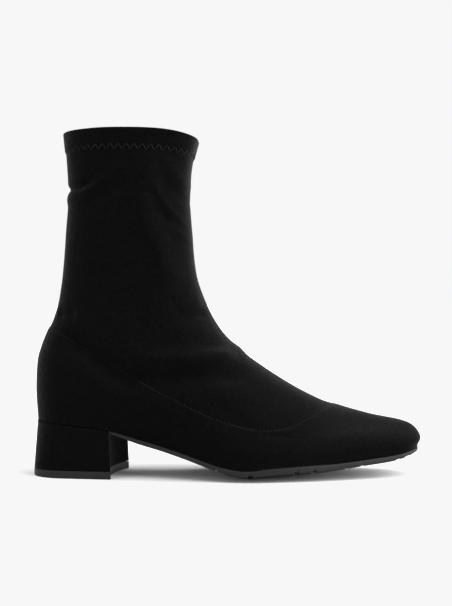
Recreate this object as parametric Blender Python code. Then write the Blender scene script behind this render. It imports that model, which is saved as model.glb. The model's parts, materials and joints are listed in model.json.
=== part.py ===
"""A right ankle boot of stretch suede, with a covered block heel and a thin rubber sole.

Sizes are in millimetres and degrees, and new_object scales the points to metres.
Frame: +X runs from heel to toe, +Y to the inner side of the foot and +Z up. The origin lies on the
floor under the middle of the boot. A station is the distance in front of the heel's rearmost point.
"""

import math

import bmesh
import bpy
import numpy as np

# Overall form
LENGTH = 262.5
MIDDLE_Y = 0.3  # middle of the whole width, from the centre line at the ball
INFLARE = 8.0  # how far the centre line of heel and toe lies to the inner side of the ball's
BOW_STATION = 135.0  # where the centre line lies outermost
BALL_SKEW = 9.0  # the inner ball lies this far ahead of the table's station, the outer one behind it

# Walls and clearances
FABRIC = 1.4  # stretch suede with its backing
PANEL = 0.9  # lower panel, laid over the fabric below the seam
HEM = 0.8  # turned edge of the collar
RIM_CROWN = 0.6
GAP = 0.3  # between neighbouring pieces
FEATHER_RADIUS = 2.0  # where the wall turns under
FEATHER_TURN = 0.6  # the turn's middle lies this far in and up
LASTING_MARGIN = 9.0  # width of the edge turned in under the insole

# Insole and outsole
INSOLE_INSET = 4.8
INSOLE_THICKNESS = 2.5
SOLE_FLANGE = 0.6
GROOVE_WIDTH = 2.6
GROOVE_DEPTH = 1.2
GROOVE_SLOPE = 0.3
GROOVES = (124.7, 146.8, 176.6, 188.2, 210.3, 220.5, 244.7, 251.0)
BREAST_STATION = 55.0
BREAST_BLEND = 25.0  # the sole's rear end follows the heel's curved breast over this length

# Heel block, in its own frame at HEEL_STATION. Its top edge runs along the upper's outline.
HEEL_STATION = 27.0
HEEL_TURN = -1.6  # beyond the direction of the centre line there
HEEL_FLANGE = 0.8  # how far the heel's top edge stands out from the upper
SEAT_FRONT = 29.6
BASE_FRONT = 31.8
BASE_BACK = 26.7
BASE_HALF_WIDTH = 25.9
BASE_SHIFT = -2.3  # the base's middle lies to the outer side
BASE_ROUND = 27.0
BASE_SQUARENESS = 2.3
BREAST_HOLLOW = 5.0
TOP_PIECE_HEIGHT = 5.0

# Fineness of the meshes
AROUND = 72
ACROSS = 6
HEEL_RINGS = 5
HEEL_AROUND = 29
BREAST_POINTS = 11
OUTSOLE_ROWS = 34
INSOLE_ROWS = 27
BREAST_STEPS = 4
ROW_SPACING = 0.5  # plain rows nearer than this to a groove are left out
WELD = 0.01

# The bottom of the last: height of its edge, how far its middle hangs below the edge, sole thickness
SOLE_COLUMNS = ("station", "edge", "crown", "thickness")
SOLE_TABLE = (
    (0.0, 38.0, 0.0, 0.9),
    (25.0, 35.5, 0.0, 0.9),
    (50.0, 32.6, 0.0, 0.9),
    (58.0, 30.5, 0.2, 1.8),
    (72.0, 26.5, 0.6, 2.9),
    (88.0, 22.1, 1.2, 3.0),
    (108.0, 16.2, 2.4, 3.1),
    (129.0, 9.9, 3.9, 3.5),
    (143.0, 7.9, 4.9, 3.8),
    (160.0, 9.4, 5.9, 4.1),
    (181.0, 10.7, 5.3, 4.2),
    (201.0, 11.5, 4.1, 4.0),
    (222.0, 13.3, 2.7, 3.7),
    (245.0, 15.8, 1.4, 3.3),
    (262.0, 19.2, 0.0, 1.7),
)

# Contours of the last from the sole's edge up to the collar.
# back and front: station and height of the two ends. sole_sag and seam_sag: how much of the curve of
# the sole's edge and of the seam the contour follows between them. heel to tip: half widths at
# WIDTH_STATIONS. back_round and front_round: lengths over which the ends close, with squareness.
# lean: how far the front end lies to the inner side.
WIDTH_PLACES = ("heel", "waist", "ball", "toe", "tip")
CONTOUR_COLUMNS = (
    ("back", "back_z", "front", "front_z", "sole_sag", "seam_sag")
    + WIDTH_PLACES
    + ("back_round", "front_round", "squareness", "lean")
)
WIDTH_STATIONS = (30.0, 90.0, 150.0, 225.0, 262.0)
CONTOURS = {
    "feather": (2.2, 40.0, 259.0, 20.6, 1.0, 0.0, 27.0, 25.0, 38.5, 26.0, 14.0, 26, 15, 2.2, 0),
    "wall": (1.1, 55.0, 261.6, 25.0, 0.9, 0.1, 29.5, 29.5, 40.3, 26.0, 14.0, 30, 18, 2.2, 0),
    "toe_top": (1.5, 73.0, 255.5, 33.2, 0.75, 0.35, 31.0, 33.0, 40.2, 23.4, 12.0, 32, 36, 2.0, 1),
    "vamp": (4.5, 87.0, 226.0, 40.6, 0.45, 0.6, 31.0, 33.5, 39.5, 22.0, 12.0, 34, 50, 2.0, 2),
    "seam": (10.6, 102.0, 197.5, 49.4, 0.0, 1.0, 30.0, 33.5, 39.0, 24.0, 12.0, 36, 42, 2.0, 3),
    "instep": (15.2, 115.5, 158.0, 71.1, 0.0, 0.85, 29.0, 33.0, 36.5, 24.0, 12.0, 38, 36, 2.2, 3),
    "throat": (17.3, 127.5, 129.4, 94.4, 0.0, 0.5, 28.5, 31.8, 33.0, 24.0, 12.0, 40, 36, 2.3, 3),
    "ankle": (19.1, 144.0, 112.2, 127.0, 0.0, 0.2, 28.5, 30.5, 31.0, 24.0, 12.0, 42, 42, 2.4, 1),
    "shaft": (20.8, 167.0, 107.2, 165.0, 0.0, 0.03, 30.0, 30.0, 30.0, 24.0, 12.0, 42, 42, 2.5, 0),
    "narrow": (22.1, 190.0, 105.8, 188.0, 0.0, 0.0, 30.0, 30.0, 30.0, 24.0, 12.0, 41, 41, 2.6, 0),
    "hem": (20.6, 217.5, 108.0, 213.5, 0.0, -0.06, 31.6, 31.6, 31.6, 24.0, 12.0, 43, 43, 2.8, 0),
    "collar": (19.5, 230.2, 110.9, 225.2, 0.0, -0.09, 32.5, 32.5, 32.5, 24.0, 12.0, 45, 45, 3.0, 0),
}
BACK_SQUARENESS = 2.2

# The seam's sag below a straight line between its ends, by the fraction of the way to the front
SEAM_FRACTIONS = (0.0, 0.2, 0.31, 0.46, 0.64, 0.77, 0.85, 0.94, 1.0)
SEAM_SAGS = (0.0, 10.0, 17.0, 23.7, 28.7, 27.2, 21.3, 9.6, 0.0)

# Rings of the upper's mesh from one contour to the next, on its outer and its inner face
OUTER_STEPS = (2, 3, 3, 2, 4, 3, 3, 3, 2, 2, 2)
INNER_STEPS = (1, 2, 2, 1, 3, 3, 3, 1, 1, 1, 1)

COLOURS = {
    "suede": (0.012, 0.012, 0.013, 1.0),
    "rubber": (0.032, 0.032, 0.034, 1.0),
    "sock": (0.02, 0.02, 0.021, 1.0),
}
ROUGHNESS = {"suede": 0.95, "rubber": 0.5, "sock": 0.9}
METRE = 1000.0  # millimetres

ROWS = {name: dict(zip(CONTOUR_COLUMNS, values)) for name, values in CONTOURS.items()}
NAMES = list(CONTOURS)
SEAM_LEVEL = NAMES.index("seam")
HEM_LEVEL = NAMES.index("hem")
SOLE = dict(zip(SOLE_COLUMNS, np.array(SOLE_TABLE).T))


def smooth(at, places, values):
    """Cubic curve through the values given at places, with the slopes of their central differences."""
    places = np.asarray(places, float)
    values = np.asarray(values, float)
    slopes = np.gradient(values, places, axis=0)
    k = np.clip(np.searchsorted(places, at, side="right") - 1, 0, len(places) - 2)
    span = places[k + 1] - places[k]
    t = np.clip((at - places[k]) / span, 0.0, 1.0)
    shape = np.shape(t) + (1,) * (values.ndim - 1)
    span = np.reshape(span, shape)
    t = np.reshape(t, shape)
    return (
        values[k] * (1 + 2 * t) * (1 - t) ** 2
        + slopes[k] * span * t * (1 - t) ** 2
        + values[k + 1] * t**2 * (3 - 2 * t)
        - slopes[k + 1] * span * t**2 * (1 - t)
    )


def rounded(depth, squareness):
    """How far a rounded end has opened, from 0 at its tip to 1, at this share of its length."""
    left = 1.0 - np.clip(depth, 0.0, 1.0)
    return (1.0 - left**squareness) ** (1.0 / squareness)


def centre_line(station):
    return INFLARE * ((station - BOW_STATION) / BOW_STATION) ** 2


def sole_value(column, station):
    return smooth(station, SOLE["station"], SOLE[column])


def half_width(row, station, side):
    """Half width of a contour on one side: -1 is the outer side and 1 the inner one."""
    skew = BALL_SKEW * np.sin(np.pi * np.clip(station / LENGTH, 0.0, 1.0))
    widths = [row[place] for place in WIDTH_PLACES]
    full = smooth(station - side * skew, WIDTH_STATIONS, widths)
    at_back = rounded((station - row["back"]) / row["back_round"], BACK_SQUARENESS)
    at_front = rounded((row["front"] - station) / row["front_round"], row["squareness"])
    return full * at_back * at_front


def edge_y(row, station, side):
    return centre_line(station) + side * half_width(row, station, side)


def bottom_height(station, y):
    """Height of the bottom of the last, which hangs lower in the middle than at its edge."""
    offset = y - centre_line(station)
    side = np.where(offset < 0, -1.0, 1.0)
    reach = np.maximum(half_width(ROWS["feather"], station, side), 1.0)
    across = np.clip(offset / reach, -1.0, 1.0)
    return sole_value("edge", station) - sole_value("crown", station) * (1.0 - across**2)


def contour_loop(row, angles):
    """Closed loop of one contour: back, outer side, front, inner side."""
    along = (1.0 - np.cos(angles)) / 2.0
    station = row["back"] + (row["front"] - row["back"]) * along
    side = np.where(np.sin(angles) > 0, -1.0, 1.0)
    y = edge_y(row, station, side) + row["lean"] * along**2
    chord = row["back_z"] + (row["front_z"] - row["back_z"]) * along
    edge = sole_value("edge", station)
    edge_chord = edge[0] + (edge[len(edge) // 2] - edge[0]) * along
    sag = row["sole_sag"] * (edge_chord - edge)
    sag = sag + row["seam_sag"] * smooth(along, SEAM_FRACTIONS, SEAM_SAGS)
    return np.stack([station, y, chord - sag], axis=1)


def levels(steps):
    """Level numbers from the feather (0) to the collar, with so many steps between the contours."""
    found = [0.0]
    for row, count in enumerate(steps):
        found += [row + (i + 1) / count for i in range(count)]
    return np.array(found)


def normals(rings):
    """Outward direction at each point of a stack of closed rings."""
    round_way = np.roll(rings, -1, axis=1) - np.roll(rings, 1, axis=1)
    up_way = np.gradient(rings, axis=0)
    found = np.cross(round_way, up_way)
    return found / np.linalg.norm(found, axis=2, keepdims=True)


def plan_inset(ring, inset, height):
    """The ring moved inward in plan, with heights from the function height(station, y)."""
    tangent = np.roll(ring, -1, axis=0) - np.roll(ring, 1, axis=0)
    inward = np.stack([-tangent[:, 1], tangent[:, 0]], axis=1)
    inward /= np.linalg.norm(inward, axis=1, keepdims=True)
    plan = ring[:, :2] + inset * inward
    return np.column_stack([plan, height(plan[:, 0], plan[:, 1])])


def lofted(at_levels, angles):
    """Rings of the fabric's outer face, on a smooth surface through all contours, and their normals."""
    loops = np.array([contour_loop(ROWS[name], angles) for name in NAMES])
    steps = np.linalg.norm(np.diff(loops, axis=0), axis=2).mean(axis=1)
    rise = np.concatenate([[0.0], np.cumsum(steps)])
    at = smooth(at_levels, np.arange(len(NAMES)), rise)
    rings = smooth(at, rise, loops)
    return rings, normals(rings)


def upper_rings():
    """Rings of the hollow upper: up its outer face, over the rim, down inside, under the margin."""
    angles = np.linspace(0.0, 2.0 * np.pi, AROUND, endpoint=False)
    at = levels(OUTER_STEPS)
    rings, out = lofted(at, angles)
    outer = []
    for level, ring, normal in zip(at, rings, out):
        if level <= SEAM_LEVEL:
            outer.append(ring + PANEL * normal)
        if SEAM_LEVEL <= level <= HEM_LEVEL:
            outer.append(ring)
        if level >= HEM_LEVEL:
            outer.append(ring + HEM * normal)
    rim = (outer[-1] + rings[-1] - FABRIC * out[-1]) / 2.0
    rim[:, 2] += RIM_CROWN
    inner_rings, inner_out = lofted(levels(INNER_STEPS), angles)
    inner = list((inner_rings - FABRIC * inner_out)[::-1])
    foot = outer[0]
    wall = FABRIC + PANEL

    def margin_top(station, y):
        return bottom_height(station, y) + wall

    def turn(station, y):
        return bottom_height(station, y) + FEATHER_TURN

    margin = [
        plan_inset(foot, FEATHER_RADIUS + wall, margin_top),
        plan_inset(foot, LASTING_MARGIN, margin_top),
        plan_inset(foot, LASTING_MARGIN, bottom_height),
        plan_inset(foot, FEATHER_RADIUS, bottom_height),
        plan_inset(foot, FEATHER_TURN, turn),
    ]
    return np.array(outer + [rim] + inner + margin)


def plate_rows(row, stations, top_height, thickness, bend=None):
    """Top and bottom rows of points of a plate that fills a contour's outline in plan."""
    across = np.linspace(-1.0, 1.0, ACROSS + 1)
    tops = []
    bottoms = []
    for number, station in enumerate(stations):
        outer = edge_y(row, station, -1.0)
        inner = edge_y(row, station, 1.0)
        y = (inner + outer) / 2.0 + across * (inner - outer) / 2.0
        x = np.full_like(y, station)
        if bend is not None:
            x = bend(station, y)
        top = top_height(x, y)
        tops.append(np.column_stack([x, y, top]))
        bottoms.append(np.column_stack([x, y, thickness(number, x, top)]))
    return np.array(tops), np.array(bottoms)


def feather_outset(distance):
    """The feather's contour, larger in plan by this distance."""
    row = dict(ROWS["feather"])
    for place in WIDTH_PLACES:
        row[place] += distance
    row["back"] -= distance
    row["front"] += distance
    return row


def heel_yaw():
    slope = 2.0 * INFLARE * (HEEL_STATION - BOW_STATION) / BOW_STATION**2
    return math.atan(slope) + math.radians(HEEL_TURN)


def heel_to_boot(x, y):
    """Station and y of a point given in the heel's own frame."""
    yaw = heel_yaw()
    station = HEEL_STATION + x * math.cos(yaw) - y * math.sin(yaw)
    return station, centre_line(HEEL_STATION) + x * math.sin(yaw) + y * math.cos(yaw)


def seat_corner(side):
    """Corner of the breast's top edge on one side, as y in the heel's frame."""
    row = feather_outset(PANEL + HEEL_FLANGE)
    yaw = heel_yaw()
    local = side * BASE_HALF_WIDTH
    for _ in range(BREAST_STEPS):
        station = heel_to_boot(SEAT_FRONT, local)[0]
        sideways = edge_y(row, station, side) - centre_line(HEEL_STATION)
        local = (sideways - SEAT_FRONT * math.sin(yaw)) / math.cos(yaw)
    return local


def breast_hollow(across):
    """Depth of the breast's hollow. Across is -1 at its outer corner and 1 at its inner corner."""
    return BREAST_HOLLOW * (1.0 - across**2)


def breast_station(y):
    """Station of the breast's top edge, closed in on step by step."""
    outer = seat_corner(-1.0)
    inner = seat_corner(1.0)
    yaw = heel_yaw()
    sideways = y - centre_line(HEEL_STATION)
    x = SEAT_FRONT
    for _ in range(BREAST_STEPS):
        local = (sideways - x * math.sin(yaw)) / math.cos(yaw)
        x = SEAT_FRONT - breast_hollow((2.0 * local - outer - inner) / (inner - outer))
    return heel_to_boot(x, local)[0]


def outsole_rows():
    """Rows of the outsole, with extra rows where the grooves run across its bottom."""
    row = feather_outset(PANEL + SOLE_FLANGE)
    front = row["front"]
    turns = np.linspace(math.acos(1.0 - 2.0 * BREAST_STATION / front), math.pi, OUTSOLE_ROWS)
    stations = {float(s): 0.0 for s in front * (1.0 - np.cos(turns)) / 2.0}
    half = GROOVE_WIDTH / 2.0
    for groove in GROOVES:
        reach = half + GROOVE_SLOPE
        stations = {s: d for s, d in stations.items() if abs(s - groove) > reach + ROW_SPACING}
        stations.update({groove - half: GROOVE_DEPTH, groove + half: GROOVE_DEPTH})
        stations.update({groove - reach: 0.0, groove + reach: 0.0})
    places = sorted(stations)

    def bend(station, y):
        share = np.clip(1.0 - (station - BREAST_STATION) / BREAST_BLEND, 0.0, 1.0) ** 2
        return station + share * (breast_station(y) + GAP - BREAST_STATION)

    def top_height(station, y):
        return bottom_height(station, y) - GAP

    def bottom(number, station, top):
        tread = np.maximum(top - sole_value("thickness", station), 0.0)
        return tread + stations[places[number]]

    return plate_rows(row, places, top_height, bottom, bend)


def insole_rows():
    row = feather_outset(-INSOLE_INSET)
    turns = np.linspace(0.0, math.pi, INSOLE_ROWS)
    stations = row["back"] + (row["front"] - row["back"]) * (1.0 - np.cos(turns)) / 2.0

    def top_height(station, y):
        return bottom_height(station, y) + FABRIC + PANEL + GAP + INSOLE_THICKNESS

    def bottom(number, station, top):
        return top - INSOLE_THICKNESS

    return plate_rows(row, stations, top_height, bottom)


def heel_sides():
    """Shares of the way from back to breast, with the side, from the inner corner to the outer one."""
    turns = np.linspace(-math.pi / 2.0, math.pi / 2.0, HEEL_AROUND)
    return 1.0 - np.cos(turns), np.where(turns < 0, 1.0, -1.0)


def breast_points(front, outer, inner):
    """Plan of the hollow breast between its corners, given as y in the heel's frame."""
    across = np.linspace(-1.0, 1.0, BREAST_POINTS + 2)[1:-1]
    local = (outer + inner) / 2.0 + across * (inner - outer) / 2.0
    return np.column_stack(heel_to_boot(front - breast_hollow(across), local))


def heel_base_plan():
    """Plan of the heel where it stands on its top piece: rounded back, straight sides, hollow breast."""
    share, side = heel_sides()
    from_back = share * (BASE_BACK + BASE_FRONT)
    y = BASE_SHIFT + side * BASE_HALF_WIDTH * rounded(from_back / BASE_ROUND, BASE_SQUARENESS)
    around = np.column_stack(heel_to_boot(from_back - BASE_BACK, y))
    corners = (BASE_SHIFT - BASE_HALF_WIDTH, BASE_SHIFT + BASE_HALF_WIDTH)
    return np.concatenate([around, breast_points(BASE_FRONT, *corners)])


def heel_seat_plan():
    """Plan of the heel's top edge, along the upper's outline."""
    row = feather_outset(PANEL + HEEL_FLANGE)
    share, side = heel_sides()
    outer = seat_corner(-1.0)
    inner = seat_corner(1.0)
    corner = heel_to_boot(SEAT_FRONT, np.where(side < 0, outer, inner))[0]
    station = row["back"] + share * (corner - row["back"])
    around = np.column_stack([station, edge_y(row, station, side)])
    return np.concatenate([around, breast_points(SEAT_FRONT, outer, inner)])


def heel_rings():
    """Rings of the heel from its top piece up to the seat."""
    base = heel_base_plan()
    seat = heel_seat_plan()
    foot = TOP_PIECE_HEIGHT + GAP
    rings = []
    for share in np.linspace(0.0, 1.0, HEEL_RINGS):
        plan = base + (seat - base) * share
        top = bottom_height(plan[:, 0], plan[:, 1]) - GAP
        rings.append(np.column_stack([plan, foot + (top - foot) * share]))
    return np.array(rings)


def top_piece_rings():
    plan = heel_base_plan()
    return np.array([np.column_stack([plan, np.full(len(plan), z)]) for z in (0.0, TOP_PIECE_HEIGHT)])


def ring_faces(count, around, closed):
    """Faces between stacked rings of points. A closed stack joins its last ring to its first."""
    faces = []
    for ring in range(count if closed else count - 1):
        low = ring * around
        high = (ring + 1) % count * around
        for i in range(around):
            j = (i + 1) % around
            faces.append((low + i, low + j, high + j, high + i))
    return faces


def capped_faces(count, around):
    top = (count - 1) * around
    faces = ring_faces(count, around, closed=False)
    faces.append(tuple(range(around))[::-1])
    faces.append(tuple(range(top, top + around)))
    return faces


def plate_mesh(tops, bottoms):
    """Points and faces of a plate between rows of top and bottom points, closed round its edge."""
    rows, across = tops.shape[:2]
    below = rows * across
    faces = []
    for r in range(rows - 1):
        for c in range(across - 1):
            a = r * across + c
            quad = (a, a + across, a + across + 1, a + 1)
            faces.append(quad)
            faces.append(tuple(below + i for i in quad[::-1]))
        left = r * across
        right = left + across - 1
        faces.append((left, below + left, below + left + across, left + across))
        faces.append((right + across, below + right + across, below + right, right))
    last = (rows - 1) * across
    for c in range(across - 1):
        faces.append((c, c + 1, below + c + 1, below + c))
        faces.append((last + c + 1, last + c, below + last + c, below + last + c + 1))
    return np.concatenate([tops.reshape(-1, 3), bottoms.reshape(-1, 3)]), faces


def make_material(name):
    material = bpy.data.materials.new(name)
    material.use_nodes = True
    shader = material.node_tree.nodes["Principled BSDF"]
    shader.inputs["Base Color"].default_value = COLOURS[name]
    shader.inputs["Roughness"].default_value = ROUGHNESS[name]
    return material


def new_object(name, points, faces, material, parent):
    """Mesh object of points in millimetres, with points that coincide joined."""
    mesh = bpy.data.meshes.new(name)
    mesh.from_pydata((np.asarray(points) / METRE).tolist(), [], faces)
    form = bmesh.new()
    form.from_mesh(mesh)
    bmesh.ops.remove_doubles(form, verts=form.verts, dist=WELD / METRE)
    form.to_mesh(mesh)
    form.free()
    mesh.materials.append(material)
    made = bpy.data.objects.new(name, mesh)
    bpy.context.scene.collection.objects.link(made)
    made.parent = parent


def main():
    for old in list(bpy.data.objects):
        bpy.data.objects.remove(old)
    materials = {name: make_material(name) for name in COLOURS}
    boot = bpy.data.objects.new("boot", None)
    bpy.context.scene.collection.objects.link(boot)
    boot.location = (-LENGTH / 2.0 / METRE, -MIDDLE_Y / METRE, 0.0)

    rings = upper_rings()
    faces = ring_faces(len(rings), AROUND, closed=True)
    new_object("upper", rings.reshape(-1, 3), faces, materials["suede"], boot)

    points, faces = plate_mesh(*insole_rows())
    new_object("insole", points, faces, materials["sock"], boot)

    points, faces = plate_mesh(*outsole_rows())
    new_object("outsole", points, faces, materials["rubber"], boot)

    rings = heel_rings()
    faces = capped_faces(*rings.shape[:2])
    new_object("heel", rings.reshape(-1, 3), faces, materials["suede"], boot)

    rings = top_piece_rings()
    faces = capped_faces(*rings.shape[:2])
    new_object("heel_top_piece", rings.reshape(-1, 3), faces, materials["rubber"], boot)


if __name__ == "__main__":
    main()
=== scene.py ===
"""Looks of a right ankle boot of black stretch suede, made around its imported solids.

Sizes are in millimetres, and make_piece scales the points to metres. +X runs from heel to toe, +Y to the
inner side of the foot and +Z up. A station is the distance in front of the heel's rearmost point.
"""

import json
import math

import bpy
import numpy as np
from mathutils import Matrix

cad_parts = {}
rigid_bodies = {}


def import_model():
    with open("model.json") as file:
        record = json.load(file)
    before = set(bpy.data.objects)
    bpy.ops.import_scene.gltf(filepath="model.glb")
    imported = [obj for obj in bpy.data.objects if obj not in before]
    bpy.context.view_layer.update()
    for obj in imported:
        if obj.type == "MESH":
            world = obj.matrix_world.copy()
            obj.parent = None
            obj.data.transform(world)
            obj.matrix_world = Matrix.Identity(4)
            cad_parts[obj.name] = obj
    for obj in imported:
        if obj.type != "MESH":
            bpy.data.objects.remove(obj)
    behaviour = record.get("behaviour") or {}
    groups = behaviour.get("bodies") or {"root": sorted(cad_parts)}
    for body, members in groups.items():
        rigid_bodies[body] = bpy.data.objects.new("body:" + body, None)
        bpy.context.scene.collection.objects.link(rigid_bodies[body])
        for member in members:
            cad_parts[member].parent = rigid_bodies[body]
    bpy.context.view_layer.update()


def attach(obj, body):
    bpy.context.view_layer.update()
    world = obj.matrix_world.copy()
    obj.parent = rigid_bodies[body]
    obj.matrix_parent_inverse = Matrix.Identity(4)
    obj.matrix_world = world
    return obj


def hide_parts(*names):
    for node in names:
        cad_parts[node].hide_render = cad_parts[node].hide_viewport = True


METRE = 1000.0
OUTER = -1.0
INNER = 1.0
BOTH = 0.0

# Form of the part: the driving sizes and tables of its solids. Only here, the contour called vamp sags
# more, which keeps fine rings apart, the upper's lower edge is rolled more tightly, the heel's flange is
# narrower and the grooves near the toe are shallower.
LENGTH = 262.5
MIDDLE_Y = 0.3
INFLARE = 8.0
BOW_STATION = 135.0
BALL_SKEW = 9.0
FABRIC = 1.4
PANEL = 0.9
HEM = 0.8
GAP = 0.3
FEATHER_RADIUS = 2.0
FEATHER_ROLL = 0.25
LASTING_MARGIN = 9.0
INSOLE_INSET = 4.8
INSOLE_THICKNESS = 2.5
SOLE_FLANGE = 0.6
GROOVE_WIDTH = 2.6
GROOVE_DEPTH = 1.2
GROOVE_SLOPE = 0.3
GROOVES = (124.7, 146.8, 176.6, 188.2, 210.3, 220.5, 244.7, 251.0)
TOE_GROOVE = {"start": 200.0, "depth": 0.4}  # the shallower grooves in front of this station
BREAST_STATION = 55.0
BREAST_BLEND = 25.0
HEEL_STATION = 27.0
HEEL_TURN = -1.6
HEEL_FLANGE = 0.1
SEAT_FRONT = 29.6
BASE_FRONT = 31.8
BASE_BACK = 26.7
BASE_HALF_WIDTH = 25.9
BASE_SHIFT = -2.3
BASE_ROUND = 27.0
BASE_SQUARENESS = 2.3
BREAST_HOLLOW = 5.0
BREAST_STEPS = 4
TOP_PIECE_HEIGHT = 5.0
BACK_SQUARENESS = 2.2

SOLE_COLUMNS = ("station", "edge", "crown", "thickness")
SOLE_TABLE = (
    (0.0, 38.0, 0.0, 0.9),
    (25.0, 35.5, 0.0, 0.9),
    (50.0, 32.6, 0.0, 0.9),
    (58.0, 30.5, 0.2, 1.8),
    (72.0, 26.5, 0.6, 2.9),
    (88.0, 22.1, 1.2, 3.0),
    (108.0, 16.2, 2.4, 3.1),
    (129.0, 9.9, 3.9, 3.5),
    (143.0, 7.9, 4.9, 3.8),
    (160.0, 9.4, 5.9, 4.1),
    (181.0, 10.7, 5.3, 4.2),
    (201.0, 11.5, 4.1, 4.0),
    (222.0, 13.3, 2.7, 3.7),
    (245.0, 15.8, 1.4, 3.3),
    (262.0, 19.2, 0.0, 1.7),
)

WIDTH_PLACES = ("heel", "waist", "ball", "toe", "tip")
WIDTH_STATIONS = (30.0, 90.0, 150.0, 225.0, 262.0)
CONTOUR_COLUMNS = (
    ("back", "back_z", "front", "front_z", "sole_sag", "seam_sag")
    + WIDTH_PLACES
    + ("back_round", "front_round", "squareness", "lean")
)
CONTOURS = {
    "feather": (2.2, 40.0, 259.0, 20.6, 1.0, 0.0, 27.0, 25.0, 38.5, 26.0, 14.0, 26, 15, 2.2, 0),
    "wall": (1.1, 55.0, 261.6, 25.0, 0.9, 0.1, 29.5, 29.5, 40.3, 26.0, 14.0, 30, 18, 2.2, 0),
    "toe_top": (1.5, 73.0, 255.5, 33.2, 0.75, 0.35, 31.0, 33.0, 40.2, 23.4, 12.0, 32, 36, 2.0, 1),
    "vamp": (4.5, 87.0, 226.0, 40.6, 0.45, 0.69, 31.0, 33.5, 39.5, 22.0, 12.0, 34, 50, 2.0, 2),
    "seam": (10.6, 102.0, 197.5, 49.4, 0.0, 1.0, 30.0, 33.5, 39.0, 24.0, 12.0, 36, 42, 2.0, 3),
    "instep": (15.2, 115.5, 158.0, 71.1, 0.0, 0.85, 29.0, 33.0, 36.5, 24.0, 12.0, 38, 36, 2.2, 3),
    "throat": (17.3, 127.5, 129.4, 94.4, 0.0, 0.5, 28.5, 31.8, 33.0, 24.0, 12.0, 40, 36, 2.3, 3),
    "ankle": (19.1, 144.0, 112.2, 127.0, 0.0, 0.2, 28.5, 30.5, 31.0, 24.0, 12.0, 42, 42, 2.4, 1),
    "shaft": (20.8, 167.0, 107.2, 165.0, 0.0, 0.03, 30.0, 30.0, 30.0, 24.0, 12.0, 42, 42, 2.5, 0),
    "narrow": (22.1, 190.0, 105.8, 188.0, 0.0, 0.0, 30.0, 30.0, 30.0, 24.0, 12.0, 41, 41, 2.6, 0),
    "hem": (20.6, 217.5, 108.0, 213.5, 0.0, -0.06, 31.6, 31.6, 31.6, 24.0, 12.0, 43, 43, 2.8, 0),
    "collar": (19.5, 230.2, 110.9, 225.2, 0.0, -0.09, 32.5, 32.5, 32.5, 24.0, 12.0, 45, 45, 3.0, 0),
}
SEAM_FRACTIONS = (0.0, 0.2, 0.31, 0.46, 0.64, 0.77, 0.85, 0.94, 1.0)
SEAM_SAGS = (0.0, 10.0, 17.0, 23.7, 28.7, 27.2, 21.3, 9.6, 0.0)

ROWS = {name: dict(zip(CONTOUR_COLUMNS, values)) for name, values in CONTOURS.items()}
NAMES = list(CONTOURS)
SOLE = dict(zip(SOLE_COLUMNS, np.array(SOLE_TABLE).T))

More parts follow.
